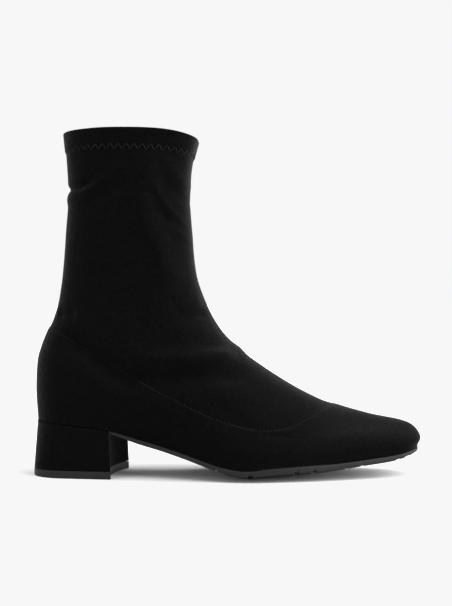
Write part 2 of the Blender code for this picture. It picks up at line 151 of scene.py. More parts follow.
# Creases of the stretch fabric: side, height above the plain surface, width, and the line that each one
# follows as (station, height above the floor). A negative height is a trough.
CREASE_COLUMNS = ("side", "height", "width", "line")
CREASES = (
    # The fold over the ankle, the hollow under it and the swell of the instep
    (OUTER, 4.0, 5.6, ((68, 78), (88, 79.5), (104, 80), (117, 80), (128, 80), (142, 79))),
    (OUTER, -3.4, 6.2, ((54, 70), (78, 68), (100, 68), (120, 68.5), (138, 69.5), (152, 68))),
    (OUTER, 1.0, 8.0, ((96, 54), (116, 57), (136, 57), (156, 52))),
    (INNER, 2.4, 4.2, ((78, 80), (98, 82.5), (114, 84), (128, 84), (138, 82), (146, 78))),
    (INNER, -2.6, 5.0, ((70, 73), (94, 71.5), (114, 71.5), (132, 70.5), (150, 67))),
    # The bend in front of the ankle
    (OUTER, -1.4, 2.2, ((96, 106), (105, 107.3), (112, 108.3), (119, 109))),
    (OUTER, 1.0, 3.0, ((98, 113.5), (106, 115.5), (115, 117.5))),
    (OUTER, 0.8, 4.5, ((96, 97), (108, 97.5), (120, 97))),
    (INNER, -1.1, 2.0, ((98, 103.5), (108, 106.5), (119, 110))),
    (INNER, 0.8, 3.4, ((100, 112), (108, 114.5), (116, 117))),
    # The fabric drawn in along the seam and tucked above the counter
    (BOTH, -4.8, 6.2, ((20, 97), (32, 88.5), (46, 78.5), (60, 68), (78, 56))),
    (OUTER, -1.2, 4.0, ((16, 109), (23, 109.5), (32, 109))),
    (INNER, -1.0, 4.2, ((16, 110.5), (24, 111), (34, 109))),
    # The toe's wall, drawn in above the sole and flush with it at the tip
    (BOTH, -1.2, 4.4, ((176, 15.5), (200, 15), (222, 17), (240, 19), (258, 22))),
    (BOTH, 0.8, 2.0, ((238, 15.8), (261, 20), (284, 24.2))),
    # The broad swell along the shaft's front, and the pulls that cross it
    (OUTER, 3.4, 8.5, ((84, 224), (80, 206), (75, 188), (77, 172), (86, 154), (91, 136), (97, 116))),
    (OUTER, 1.2, 2.8, ((80, 199), (85, 190.5), (90.5, 181), (97, 173), (106, 167))),
    (OUTER, 0.9, 3.4, ((86, 216), (93, 206), (99, 199), (107, 191))),
    (OUTER, 0.8, 2.8, ((90, 169), (97, 164.5), (107, 157.5))),
    (OUTER, -0.7, 2.8, ((86, 201), (93, 193), (107, 180))),
    (OUTER, -0.4, 2.8, ((84, 180), (91, 171.5), (98, 166), (107, 161.5))),
    # Pulls in the shaft's back half
    (OUTER, 1.0, 2.0, ((32, 188.5), (43, 191.5), (50, 197.5), (57, 202.5), (68, 207))),
    (OUTER, -1.2, 4.2, ((42, 182), (54, 191), (70, 197))),
    (OUTER, 0.9, 3.4, ((6, 185.5), (24, 186.3), (42, 187))),
    (OUTER, -1.7, 2.0, ((6, 192.7), (24, 192.9), (34, 193.8), (46, 198))),
    (OUTER, 0.6, 3.0, ((30, 146), (44, 142), (60, 143))),
    (OUTER, -0.6, 3.4, ((34, 136), (50, 133), (66, 135))),
    # Pulls on the inner side
    (INNER, 1.5, 8.0, ((88, 220), (80, 196), (78, 172), (90, 144), (97, 116))),
    (INNER, 0.9, 2.2, ((44, 197), (58, 187), (72, 181))),
    (INNER, 0.7, 2.4, ((80, 185), (94, 177), (106, 172))),
    (INNER, -0.8, 2.8, ((50, 186), (66, 177), (84, 172))),
    (INNER, 0.7, 2.6, ((28, 151), (44, 147), (60, 149))),
)
CREASE_FADE = 0.22  # share of a crease's line over which each of its ends runs out
CREASE_WRAP = 0.45  # how far round the boot's edge a crease reaches, as the normal's y
RUMPLE_SIZES = ((30.0, 0.30), (11.0, 0.12))  # cell and height of the soft unevenness
PANEL_RUMPLE = 0.35  # share of it that the stiffer lower panel has
RUMPLE_SEED = 5
RUMPLE_CELLS = 16  # cells each way before the unevenness repeats

# Edges, seams and stitches
PANEL_STEP = 0.08  # height of the panel's cut edge
PANEL_ROUND = 0.3
PANEL_SWELL = 6.0
PANEL_EDGE_RINGS = (2.6, 2.2, 1.9, 1.6, 1.2, 0.8, 0.5, 0.3, 0.15, 0.05, 0.0, -0.15, -0.6)  # below the seam
SEAM_DIP = 0.25
SEAM_DIP_WIDTH = 0.7
SEAM_STITCH = {"inset": 1.9, "pitch": 2.6, "length": 1.15, "radius": 0.2}
HEM_FLAT = 8.5  # depth of the hem's even part below the rim
HEM_END = 14.5
ZIGZAG = {"top": 9.2, "bottom": 13.2, "pitch": 5.4, "radius": 0.18}
ZIGZAG_DIP = 0.25
ZIGZAG_DIP_WIDTH = 1.6
STITCH_LIFT = 0.16
STITCH_SINK = 0.22
STITCH_TIP = 0.65  # share of its thickness that a thread has at its holes
STITCH_RINGS = 6
STITCH_SIDES = 8
LINE_STEP = 0.4  # distance of the rings that give a stitch line its outward directions
HEEL_BEVEL = 0.5
SEAT_GROOVE = {"height": 0.7, "depth": 1.2}  # the dark line between the heel and the upper
TOP_PIECE_BEVEL = 0.45
BEVEL_SEGMENTS = 3
BEVEL_ANGLE = 40.0  # edges that are sharper than this many degrees are rounded
SOLE_EDGE = 0.45
SOLE_EDGE_TURN = 0.3  # share of a sole's rounded edge that its first step takes
SOLE_TIP = 0.02  # how far short of the outsole's tip its last section lies

# Fineness of the meshes
PLAIN_AROUND = 72  # the loft's own parameter is measured on this many points
AROUND = 360
CROWDING = 0.2  # how far the points crowd towards the middle of each side
OUTER_SPACING = 1.4
INNER_SPACING = 3.6
RIM_RINGS = 8
ROLL_RINGS = 5
FINE_AROUND = 2400
SOLE_ACROSS = 28
SOLE_ROWS = 190
INSOLE_ROWS = 120
HEEL_RINGS = 31
HEEL_AROUND = 141
BREAST_POINTS = 61
TOP_PIECE_RINGS = 4

# Materials: noise textures with their scale in bumps per metre, pairs of dark and light colours, bumps in
# millimetres and the values of the shader's sockets
COLOUR_SPAN = (0.3, 0.7)  # noise values where the dark colour ends and the light one is full
NAP_SPAN = (0.25, 0.75)
NAP = {"scale": 420.0, "detail": 4.0, "roughness": 0.75}
TUFTS = {"scale": 640.0, "detail": 3.0, "roughness": 0.65}
TUFT_BUMP = {"distance": 0.8, "strength": 0.75}
FIBRES = {"scale": 2200.0, "detail": 4.0, "roughness": 0.7}
FIBRE_BUMP = {"distance": 0.3, "strength": 0.4}
PLAIN_SUEDE = ((0.0009, 0.0009, 0.0010), (0.0024, 0.0024, 0.0026))
# The second pair of suede colours is a painted highlight: the top of the toe is coloured lighter where
# light falls on it.
PAINTED_HIGHLIGHT_SUEDE = ((0.0022, 0.0022, 0.0023), (0.0046, 0.0046, 0.0048))
TOE_PAINTED_HIGHLIGHT = {"start": 45.0, "full": 80.0, "low": 22.0, "high": 34.0}  # x and z where the top of the toe gets a painted highlight
SUEDE_SHADER = {
    "Roughness": 0.95,
    "Specular IOR Level": 0.02,
    "Sheen Weight": 0.12,
    "Sheen Roughness": 0.30,
    "Sheen Tint": (0.9, 0.9, 0.93, 1.0),
}
THREAD_TWIST = {"scale": 2600.0, "detail": 2.0}
THREAD_BUMP = {"distance": 0.08, "strength": 0.5}
THREAD_COLOURS = ((0.0012, 0.0012, 0.0013), (0.0032, 0.0032, 0.0034))
THREAD_SHADER = {"Roughness": 0.6, "Specular IOR Level": 0.2}
LINING_CLOUD = {"scale": 120.0, "detail": 4.0, "roughness": 0.6}
LINING_COLOURS = ((0.012, 0.012, 0.013), (0.020, 0.020, 0.021))
LINING_KNIT = {"Scale": 210.0, "Distortion": 1.5, "Detail Scale": 300.0}
LINING_BUMP = {"distance": 0.25, "strength": 0.5}
LINING_SHADER = {"Roughness": 0.9, "Specular IOR Level": 0.2, "Sheen Weight": 0.08}
RUBBER_CLOUD = {"scale": 45.0, "detail": 4.0, "roughness": 0.6}
RUBBER_COLOURS = ((0.0050, 0.0050, 0.0052), (0.0078, 0.0078, 0.0080))
RUBBER_SCUFFS = {"scale": 160.0, "detail": 3.0}
RUBBER_ROUGHNESS = {"To Min": 0.48, "To Max": 0.66}
RUBBER_GRAIN = {"scale": 1100.0, "detail": 2.0}
RUBBER_BUMP = {"distance": 0.08, "strength": 0.35}
RUBBER_SHADER = {"Specular IOR Level": 0.17}
SOCK_CLOUD = {"scale": 60.0, "detail": 4.0, "roughness": 0.6}
SOCK_COLOURS = ((0.014, 0.014, 0.015), (0.023, 0.023, 0.024))
SOCK_GRAIN = {"Scale": 800.0}
SOCK_BUMP = {"distance": 0.12, "strength": 0.4}
SOCK_SHADER = {"Roughness": 0.6}

# Camera, floor and light
CAMERA_DISTANCE = 740.0
CAMERA_HEIGHT = 116.0
CAMERA_AZIMUTH = 1.5
CAMERA_X = -1.1
LENS = 64.75
SENSOR = 36.0
FLOOR_SIZE = 120.0  # in metres
FLOOR_GREY = 0.57
FLOOR_SHADER = {
    "Base Color": (FLOOR_GREY, FLOOR_GREY, FLOOR_GREY, 1.0),
    "Roughness": 1.0,
    "Specular IOR Level": 0.0,
}
WHITE = 0.93  # the backdrop's tone, where the picture is clipped
COMBINED_CURVE = 3  # number of the view curve that acts on all colours
SOFTBOXES = (
    # direction, cosines where the box ends and is full, radiance
    ((0.00, 1.00, 0.00), -0.30, 0.30, 0.5),
    ((0.00, 0.00, 1.00), 0.60, 0.95, 3.0),
    ((0.90, -0.24, 0.37), 0.73, 0.98, 10.5),
    ((0.69, 0.58, 0.42), 0.75, 0.98, 1.6),
    ((-0.78, -0.52, 0.35), 0.75, 0.98, 3.4),
    ((0.00, 0.99, 0.14), 0.80, 0.98, 0.7),
)


def smooth(at, places, values):
    """Cubic curve through the values given at places, with the slopes of their central differences."""
    places = np.asarray(places, float)
    values = np.asarray(values, float)
    slopes = np.gradient(values, places, axis=0)
    k = np.clip(np.searchsorted(places, at, side="right") - 1, 0, len(places) - 2)
    span = places[k + 1] - places[k]
    t = np.clip((at - places[k]) / span, 0.0, 1.0)
    shape = np.shape(t) + (1,) * (values.ndim - 1)
    span = np.reshape(span, shape)
    t = np.reshape(t, shape)
    return (
        values[k] * (1 + 2 * t) * (1 - t) ** 2
        + slopes[k] * span * t * (1 - t) ** 2
        + values[k + 1] * t**2 * (3 - 2 * t)
        - slopes[k + 1] * span * t**2 * (1 - t)
    )


def eased(share):
    """Smooth step from 0 to 1."""
    share = np.clip(share, 0.0, 1.0)
    return share**2 * (3.0 - 2.0 * share)


def rounded(depth, squareness):
    """How far a rounded end has opened, from 0 at its tip to 1, at this share of its length."""
    left = 1.0 - np.clip(depth, 0.0, 1.0)
    return (1.0 - left**squareness) ** (1.0 / squareness)


def centre_line(station):
    return INFLARE * ((station - BOW_STATION) / BOW_STATION) ** 2


def sole_value(column, station):
    return smooth(station, SOLE["station"], SOLE[column])


def half_width(row, station, side):
    """Half width of a contour on one side."""
    skew = BALL_SKEW * np.sin(np.pi * np.clip(station / LENGTH, 0.0, 1.0))
    widths = [row[place] for place in WIDTH_PLACES]
    full = smooth(station - side * skew, WIDTH_STATIONS, widths)
    at_back = rounded((station - row["back"]) / row["back_round"], BACK_SQUARENESS)
    at_front = rounded((row["front"] - station) / row["front_round"], row["squareness"])
    return full * at_back * at_front


def edge_y(row, station, side):
    return centre_line(station) + side * half_width(row, station, side)


def bottom_height(station, y):
    """Height of the bottom of the last, which hangs lower in the middle than at its edge."""
    offset = y - centre_line(station)
    side = np.where(offset < 0, OUTER, INNER)
    reach = np.maximum(half_width(ROWS["feather"], station, side), 1.0)
    across = np.clip(offset / reach, -1.0, 1.0)
    return sole_value("edge", station) - sole_value("crown", station) * (1.0 - across**2)


def contour_loop(row, angles):
    """Closed loop of one contour: back, outer side, front, inner side."""
    along = (1.0 - np.cos(angles)) / 2.0
    station = row["back"] + (row["front"] - row["back"]) * along
    side = np.where(np.sin(angles) > 0, OUTER, INNER)
    y = edge_y(row, station, side) + row["lean"] * along**2
    chord = row["back_z"] + (row["front_z"] - row["back_z"]) * along
    edge = sole_value("edge", station)
    ends = sole_value("edge", np.array([row["back"], row["front"]]))
    edge_chord = ends[0] + (ends[1] - ends[0]) * along
    sag = row["sole_sag"] * (edge_chord - edge)
    sag = sag + row["seam_sag"] * smooth(along, SEAM_FRACTIONS, SEAM_SAGS)
    return np.stack([station, y, chord - sag], axis=1)


def contour_loops(angles):
    return np.array([contour_loop(ROWS[name], angles) for name in NAMES])


def mean_rise():
    """Mean distance of each contour from the feather, measured along the surface."""
    loops = contour_loops(np.linspace(0.0, 2.0 * np.pi, PLAIN_AROUND, endpoint=False))
    steps = np.linalg.norm(np.diff(loops, axis=0), axis=2).mean(axis=1)
    return np.concatenate([[0.0], np.cumsum(steps)])


RISE = mean_rise()
SEAM_RISE = RISE[NAMES.index("seam")]
RIM_RISE = RISE[-1]


def around_angles(count):
    """Angles round the boot, crowded towards the middle of its long sides."""
    turn = np.linspace(0.0, 2.0 * np.pi, count, endpoint=False)
    return turn + CROWDING * np.sin(2.0 * turn)


def normals(rings):
    """Outward direction at each point of a stack of closed rings."""
    round_way = np.roll(rings, -1, axis=1) - np.roll(rings, 1, axis=1)
    up_way = np.gradient(rings, axis=0)
    found = np.cross(round_way, up_way)
    return found / np.linalg.norm(found, axis=2, keepdims=True)


def plan_inset(ring, inset, height):
    """The ring moved inward in plan, with heights from the function height(station, y)."""
    tangent = np.roll(ring, -1, axis=0) - np.roll(ring, 1, axis=0)
    inward = np.stack([-tangent[:, 1], tangent[:, 0]], axis=1)
    inward /= np.linalg.norm(inward, axis=1, keepdims=True)
    plan = ring[:, :2] + inset * inward
    return np.column_stack([plan, height(plan[:, 0], plan[:, 1])])


def path_distance(places, line):
    """Distance of points from a line of straight stretches, and the share of its length there."""
    line = np.asarray(line, float)
    lengths = np.linalg.norm(np.diff(line, axis=0), axis=1)
    passed = np.concatenate([[0.0], np.cumsum(lengths)])
    best = np.full(places.shape[:-1], np.inf)
    share = np.zeros(places.shape[:-1])
    for number, length in enumerate(lengths):
        way = (line[number + 1] - line[number]) / length
        along = np.clip((places - line[number]) @ way, 0.0, length)
        apart = np.linalg.norm(places - line[number] - along[..., None] * way, axis=-1)
        nearer = apart < best
        best = np.where(nearer, apart, best)
        share = np.where(nearer, (passed[number] + along) / passed[-1], share)
    return best, share


def crease_height(points, out):
    """Height of all creases at points of the upper with these outward directions."""
    total = np.zeros(points.shape[:-1])
    places = points[..., (0, 2)]
    for values in CREASES:
        crease = dict(zip(CREASE_COLUMNS, values))
        apart, share = path_distance(places, crease["line"])
        ends = eased(share / CREASE_FADE) * eased((1.0 - share) / CREASE_FADE)
        facing = 1.0
        if crease["side"] != BOTH:
            facing = eased((crease["side"] * out[..., 1] + CREASE_WRAP) / CREASE_WRAP)
        total += crease["height"] * ends * facing * np.exp(-((apart / crease["width"]) ** 2))
    return total


def uneven(points, cell, seed):
    """Smooth random field from -1 to 1 with bumps about as large as the cell."""
    lattice = np.random.default_rng(seed).uniform(-1.0, 1.0, (RUMPLE_CELLS, RUMPLE_CELLS, RUMPLE_CELLS))
    scaled = points / cell
    low = np.floor(scaled).astype(int)
    t = eased(scaled - low)
    total = np.zeros(points.shape[:-1])
    for corner in np.ndindex(2, 2, 2):
        weight = np.prod(np.where(corner, t, 1.0 - t), axis=-1)
        index = (low + corner) % RUMPLE_CELLS
        total += weight * lattice[index[..., 0], index[..., 1], index[..., 2]]
    return total


def fabric_surface(at, angles):
    """Points and outward directions of the creased fabric, at distances above the feather."""
    rings = smooth(np.asarray(at, float), RISE, contour_loops(angles))
    out = normals(rings)
    height = crease_height(rings, out)
    softness = np.where(np.asarray(at) < SEAM_RISE, PANEL_RUMPLE, 1.0)[:, None]
    for number, (cell, size) in enumerate(RUMPLE_SIZES):
        height += softness * size * uneven(rings, cell, RUMPLE_SEED + number)
    rings = rings + height[..., None] * out
    return rings, normals(rings)


def outer_offset(at):
    """How far the outer face stands proud of the plain fabric: lower panel, stitch rows and hem."""
    below = SEAM_RISE - at
    edge = np.clip(1.0 - below / PANEL_ROUND, 0.0, 1.0)
    step = PANEL_STEP * np.sqrt(np.maximum(1.0 - edge**2, 0.0))
    panel = np.where(below >= 0, step + (PANEL - PANEL_STEP) * eased(below / PANEL_SWELL), 0.0)
    stitched = SEAM_DIP * np.exp(-(((below - SEAM_STITCH["inset"]) / SEAM_DIP_WIDTH) ** 2))
    under_rim = RIM_RISE - at
    hem = HEM * eased((HEM_END - under_rim) / (HEM_END - HEM_FLAT))
    middle = (ZIGZAG["top"] + ZIGZAG["bottom"]) / 2.0
    sewn = ZIGZAG_DIP * np.exp(-(((under_rim - middle) / ZIGZAG_DIP_WIDTH) ** 2))
    return panel - stitched + hem - sewn


def outer_face(at, angles):
    rings, out = fabric_surface(at, angles)
    return rings + outer_offset(np.asarray(at, float))[:, None, None] * out, out


def outer_rises():
    """Distances above the feather of the outer face's rings, closer along the panel's edge."""
    even = np.linspace(0.0, RIM_RISE, round(RIM_RISE / OUTER_SPACING) + 1)
    edge = SEAM_RISE - np.array(PANEL_EDGE_RINGS)
    clear = (even < edge[0] - OUTER_SPACING / 2) | (even > edge[-1] + OUTER_SPACING / 2)
    return np.sort(np.concatenate([even[clear], edge]))


def rolled_edge(foot, turn):
    """Ring of the upper's rounded lower edge, from its underside at a quarter turn to its side at none."""

    def height(station, y):
        return bottom_height(station, y) + FEATHER_ROLL * (1.0 - math.sin(turn))

    return plan_inset(foot, FEATHER_ROLL * (1.0 - math.cos(turn)), height)


def upper_rings():
    """Rings of the upper up its outer face, over the rim, down inside and under the lasting margin.

    The other two values are the numbers of the first and the last ring of the lined inside.
    """
    angles = around_angles(AROUND)
    outer, out = outer_face(outer_rises(), angles)
    radius = (HEM + FABRIC) / 2.0
    middle = outer[-1] - radius * out[-1]
    rise = outer[-1] - outer[-2]
    rise /= np.linalg.norm(rise, axis=1, keepdims=True)
    turns = np.linspace(0.0, np.pi, RIM_RINGS + 2)[1:-1]
    rim = [middle + radius * (math.cos(turn) * out[-1] + math.sin(turn) * rise) for turn in turns]
    inner_at = np.linspace(RIM_RISE, 0.0, round(RIM_RISE / INNER_SPACING))
    fabric, fabric_out = fabric_surface(inner_at[::-1], angles)
    inner = (fabric - FABRIC * fabric_out)[::-1]
    foot = outer[0]
    wall = FABRIC + PANEL

    def margin_top(station, y):
        return bottom_height(station, y) + wall

    margin = [
        plan_inset(foot, FEATHER_RADIUS + wall, margin_top),
        plan_inset(foot, LASTING_MARGIN, margin_top),
        plan_inset(foot, LASTING_MARGIN, bottom_height),
    ]
    roll = [rolled_edge(foot, turn) for turn in np.linspace(np.pi / 2.0, 0.0, ROLL_RINGS)]
    first = len(outer) + len(rim)
    return np.concatenate([outer, rim, inner, margin, roll]), first, first + len(inner) + 1


def ring_line(at, inward=0.0):
    """A fine closed line on the upper's outer face, or this far inward on its inner face.

    The other value holds the directions away from that face.
    """
    angles = around_angles(FINE_AROUND)
    rises = [at - LINE_STEP, at, at + LINE_STEP]
    if inward:
        rings, out = fabric_surface(rises, angles)
        return rings[1] - inward * out[1], -out[1]
    rings, out = outer_face(rises, angles)
    return rings[1], out[1]


def line_length(line):
    return np.linalg.norm(np.roll(line, -1, axis=0) - line, axis=1).sum()


def along_line(line, values, shares):
    """Values given at the points of a closed line, read at shares of its length."""
    steps = np.linalg.norm(np.roll(line, -1, axis=0) - line, axis=1)
    passed = np.concatenate([[0.0], np.cumsum(steps)])
    closed = np.concatenate([values, values[:1]])
    places = (np.asarray(shares) % 1.0) * passed[-1]
    return np.stack([np.interp(places, passed, closed[:, i]) for i in range(3)], axis=1)


def stitch_mesh(starts, ends, out, radius):
    """Points and faces of threads that rise from one hole and go down into the next."""
    share = np.linspace(0.0, 1.0, STITCH_RINGS)
    bow = np.sin(np.pi * share)
    lift = STITCH_LIFT * bow - STITCH_SINK * (1.0 - bow)
    thick = radius * (STITCH_TIP + (1.0 - STITCH_TIP) * bow)
    side = np.cross(out, ends - starts)
    side /= np.linalg.norm(side, axis=1, keepdims=True)
    middle = starts[:, None] + (ends - starts)[:, None] * share[:, None] + out[:, None] * lift[:, None]
    turn = np.linspace(0.0, 2.0 * np.pi, STITCH_SIDES, endpoint=False)
    ring = np.cos(turn)[:, None] * side[:, None, None] + np.sin(turn)[:, None] * out[:, None, None]
    points = middle[:, :, None] + thick[:, None, None] * ring
    faces = []
    for stitch in range(len(starts)):
        first = stitch * STITCH_RINGS * STITCH_SIDES
        for face in capped_faces(STITCH_RINGS, STITCH_SIDES):
            faces.append(tuple(first + i for i in face))
    return points.reshape(-1, 3), faces


def seam_stitches():
    """A row of stitches along the lower panel's edge."""
    line, out = ring_line(SEAM_RISE - SEAM_STITCH["inset"])
    count = round(line_length(line) / SEAM_STITCH["pitch"])
    starts = np.arange(count) / count
    ends = starts + SEAM_STITCH["length"] / line_length(line)
    directions = along_line(line, out, (starts + ends) / 2.0)
    first = along_line(line, line, starts)
    return stitch_mesh(first, along_line(line, line, ends), directions, SEAM_STITCH["radius"])


def zigzag_stitches(inward):
    """The hem's zigzag, on the outer face or, with the fabric's thickness as inward, inside."""
    top, top_out = ring_line(RIM_RISE - ZIGZAG["top"], inward)
    low, low_out = ring_line(RIM_RISE - ZIGZAG["bottom"], inward)
    count = round(line_length(top) / ZIGZAG["pitch"])
    shares = np.arange(2 * count) / (2 * count)
    high = np.arange(2 * count)[:, None] % 2 == 0
    points = np.where(high, along_line(top, top, shares), along_line(low, low, shares))
    out = np.where(high, along_line(top, top_out, shares), along_line(low, low_out, shares))
    ends = np.roll(points, -1, axis=0)
    middle_out = out + np.roll(out, -1, axis=0)
    middle_out /= np.linalg.norm(middle_out, axis=1, keepdims=True)
    return stitch_mesh(points, ends, middle_out, ZIGZAG["radius"])


def feather_outset(distance):
    """The feather's contour, larger in plan by this distance."""
    row = dict(ROWS["feather"])
    for place in WIDTH_PLACES:
        row[place] += distance
    row["back"] -= distance
    row["front"] += distance
    return row


def heel_yaw():
    slope = 2.0 * INFLARE * (HEEL_STATION - BOW_STATION) / BOW_STATION**2
    return math.atan(slope) + math.radians(HEEL_TURN)


def heel_to_boot(x, y):
    """Station and y of a point given in the heel's own frame."""
    yaw = heel_yaw()
    station = HEEL_STATION + x * math.cos(yaw) - y * math.sin(yaw)
    return station, centre_line(HEEL_STATION) + x * math.sin(yaw) + y * math.cos(yaw)


def seat_corner(side):
    """Corner of the breast's top edge on one side, as y in the heel's frame."""
    row = feather_outset(PANEL + HEEL_FLANGE)
    yaw = heel_yaw()
    local = side * BASE_HALF_WIDTH
    for _ in range(BREAST_STEPS):
        station = heel_to_boot(SEAT_FRONT, local)[0]
        sideways = edge_y(row, station, side) - centre_line(HEEL_STATION)
        local = (sideways - SEAT_FRONT * math.sin(yaw)) / math.cos(yaw)
    return local


def breast_hollow(across):
    """Depth of the breast's hollow. Across is -1 at its outer corner and 1 at its inner corner."""
    return BREAST_HOLLOW * (1.0 - across**2)


def breast_station(y):
    """Station of the breast's top edge, closed in on step by step."""
    outer = seat_corner(OUTER)
    inner = seat_corner(INNER)
    yaw = heel_yaw()
    sideways = y - centre_line(HEEL_STATION)
    x = SEAT_FRONT
    for _ in range(BREAST_STEPS):
        local = (sideways - x * math.sin(yaw)) / math.cos(yaw)
        x = SEAT_FRONT - breast_hollow((2.0 * local - outer - inner) / (inner - outer))
    return heel_to_boot(x, local)[0]


def plate_section(row, station, top_height, bottom_of, bend):
    """Closed section of a sole across one station: top, inner edge, bottom, outer edge."""
    outer = edge_y(row, station, OUTER)
    inner = edge_y(row, station, INNER)
    middle = (outer + inner) / 2.0
    half = (inner - outer) / 2.0
    soft = min(SOLE_EDGE, half / 2.0)
    turn = SOLE_EDGE_TURN
    flat = np.linspace(-1.0, 1.0, SOLE_ACROSS + 1) * (half - soft)
    flank = np.array([half - turn * soft, half, half, half - turn * soft])
    y = middle + np.concatenate([flat, flank, flat[::-1], -flank])
    x = bend(station, y)
    top = top_height(x, y)
    bottom = bottom_of(station, x, top)
    level = np.zeros(len(flat))
    drop = np.concatenate([level, [turn, 1.0, -1.0, -turn], level, [-turn, -1.0, 1.0, turn]])
    on_top = np.zeros(len(y), bool)
    on_top[: len(flat) + 2] = True
    on_top[-2:] = True
    z = np.where(on_top, top, bottom) - drop * soft
    return np.column_stack([x, y, z])


def unbent(station, y):
    return np.full_like(y, station)


def outsole_sections():
    """Sections of the outsole, with close rows where the grooves run across its bottom."""
    row = feather_outset(PANEL + SOLE_FLANGE)
    front = row["front"] - SOLE_TIP
    turns = np.linspace(math.acos(1.0 - 2.0 * BREAST_STATION / front), math.pi, SOLE_ROWS)
    depths = {float(s): 0.0 for s in front * (1.0 - np.cos(turns)) / 2.0}
    half = GROOVE_WIDTH / 2.0
    reach = half + GROOVE_SLOPE
    for groove in GROOVES:
        depth = GROOVE_DEPTH if groove < TOE_GROOVE["start"] else TOE_GROOVE["depth"]
        depths = {s: d for s, d in depths.items() if abs(s - groove) > reach + GROOVE_SLOPE}
        depths.update({groove - half: depth, groove + half: depth})
        depths.update({groove - reach: 0.0, groove + reach: 0.0})

    def bend(station, y):
        share = np.clip(1.0 - (station - BREAST_STATION) / BREAST_BLEND, 0.0, 1.0) ** 2
        return station + share * (breast_station(y) + GAP - BREAST_STATION)

    def top_height(station, y):
        return bottom_height(station, y) - GAP

    def bottom_of(station, x, top):
        return np.maximum(top - sole_value("thickness", x), 0.0) + depths[station]

    return np.array([plate_section(row, s, top_height, bottom_of, bend) for s in sorted(depths)])


def insole_sections():
    row = feather_outset(-INSOLE_INSET)
    turns = np.linspace(0.0, math.pi, INSOLE_ROWS + 2)[1:-1]
    stations = row["back"] + (row["front"] - row["back"]) * (1.0 - np.cos(turns)) / 2.0

    def top_height(station, y):
        return bottom_height(station, y) + FABRIC + PANEL + GAP + INSOLE_THICKNESS

    def bottom_of(station, x, top):
        return top - INSOLE_THICKNESS

    return np.array([plate_section(row, s, top_height, bottom_of, unbent) for s in stations])


def heel_sides():
    """Shares of the way from back to breast, with the side, from the inner corner to the outer one."""
    turns = np.linspace(-math.pi / 2.0, math.pi / 2.0, HEEL_AROUND)
    return 1.0 - np.cos(turns), np.where(turns < 0, INNER, OUTER)


def breast_points(front, outer, inner):
    """Plan of the hollow breast between its corners, given as y in the heel's frame."""
    across = np.linspace(-1.0, 1.0, BREAST_POINTS + 2)[1:-1]
    local = (outer + inner) / 2.0 + across * (inner - outer) / 2.0
    return np.column_stack(heel_to_boot(front - breast_hollow(across), local))


def heel_base_plan():
    """Plan of the heel where it stands on its top piece: rounded back, straight sides, hollow breast."""
    share, side = heel_sides()
    from_back = share * (BASE_BACK + BASE_FRONT)
    y = BASE_SHIFT + side * BASE_HALF_WIDTH * rounded(from_back / BASE_ROUND, BASE_SQUARENESS)
    around = np.column_stack(heel_to_boot(from_back - BASE_BACK, y))
    corners = (BASE_SHIFT - BASE_HALF_WIDTH, BASE_SHIFT + BASE_HALF_WIDTH)
    return np.concatenate([around, breast_points(BASE_FRONT, *corners)])


def heel_seat_plan():
    """Plan of the heel's top edge, along the upper's outline."""
    row = feather_outset(PANEL + HEEL_FLANGE)
    share, side = heel_sides()
    outer = seat_corner(OUTER)
    inner = seat_corner(INNER)
    corner = heel_to_boot(SEAT_FRONT, np.where(side < 0, outer, inner))[0]
    station = row["back"] + share * (corner - row["back"])
    around = np.column_stack([station, edge_y(row, station, side)])
    return np.concatenate([around, breast_points(SEAT_FRONT, outer, inner)])


def heel_rings():
    """Rings of the heel from its top piece up to the seat."""
    base = heel_base_plan()
    seat = heel_seat_plan()
    foot = TOP_PIECE_HEIGHT + GAP
    rings = []
    for share in np.linspace(0.0, 1.0, HEEL_RINGS):
        plan = base + (seat - base) * share
        top = bottom_height(plan[:, 0], plan[:, 1]) - GAP - SEAT_GROOVE["height"]
        rings.append(np.column_stack([plan, foot + (top - foot) * share]))
    away = seat - seat.mean(axis=0)
    inner = seat - SEAT_GROOVE["depth"] * away / np.linalg.norm(away, axis=1, keepdims=True)
    top = bottom_height(inner[:, 0], inner[:, 1]) - GAP
    rings.append(np.column_stack([inner, top - SEAT_GROOVE["height"]]))
    rings.append(np.column_stack([inner, top]))
    return np.array(rings)


def top_piece_rings():
    plan = heel_base_plan()
    heights = np.linspace(0.0, TOP_PIECE_HEIGHT, TOP_PIECE_RINGS)
    return np.array([np.column_stack([plan, np.full(len(plan), z)]) for z in heights])


def ring_faces(count, around, closed):
    """Faces between stacked rings of points. A closed stack joins its last ring to its first."""
    faces = []
    for ring in range(count if closed else count - 1):
        low = ring * around
        high = (ring + 1) % count * around
        for i in range(around):
            j = (i + 1) % around
            faces.append((low + i, low + j, high + j, high + i))
    return faces


def capped_faces(count, around):
    top = (count - 1) * around
    faces = ring_faces(count, around, closed=False)
    faces.append(tuple(range(around))[::-1])
    faces.append(tuple(range(top, top + around)))
    return faces


def make_piece(name, points, faces, materials, slot, replaced=()):
    """A smooth mesh object on the boot, from points in millimetres."""
    mesh = bpy.data.meshes.new(name)
    place = np.array([-LENGTH / 2.0, -MIDDLE_Y, 0.0])
    mesh.from_pydata(((np.asarray(points) + place) / METRE).tolist(), [], faces)
    mesh.update()
    mesh.shade_smooth()
    for material in materials:
        mesh.materials.append(material)
    piece = bpy.data.objects.new(name, mesh)
    bpy.context.scene.collection.objects.link(piece)
    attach(piece, "root")
    if replaced:
        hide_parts(*replaced)
    return piece


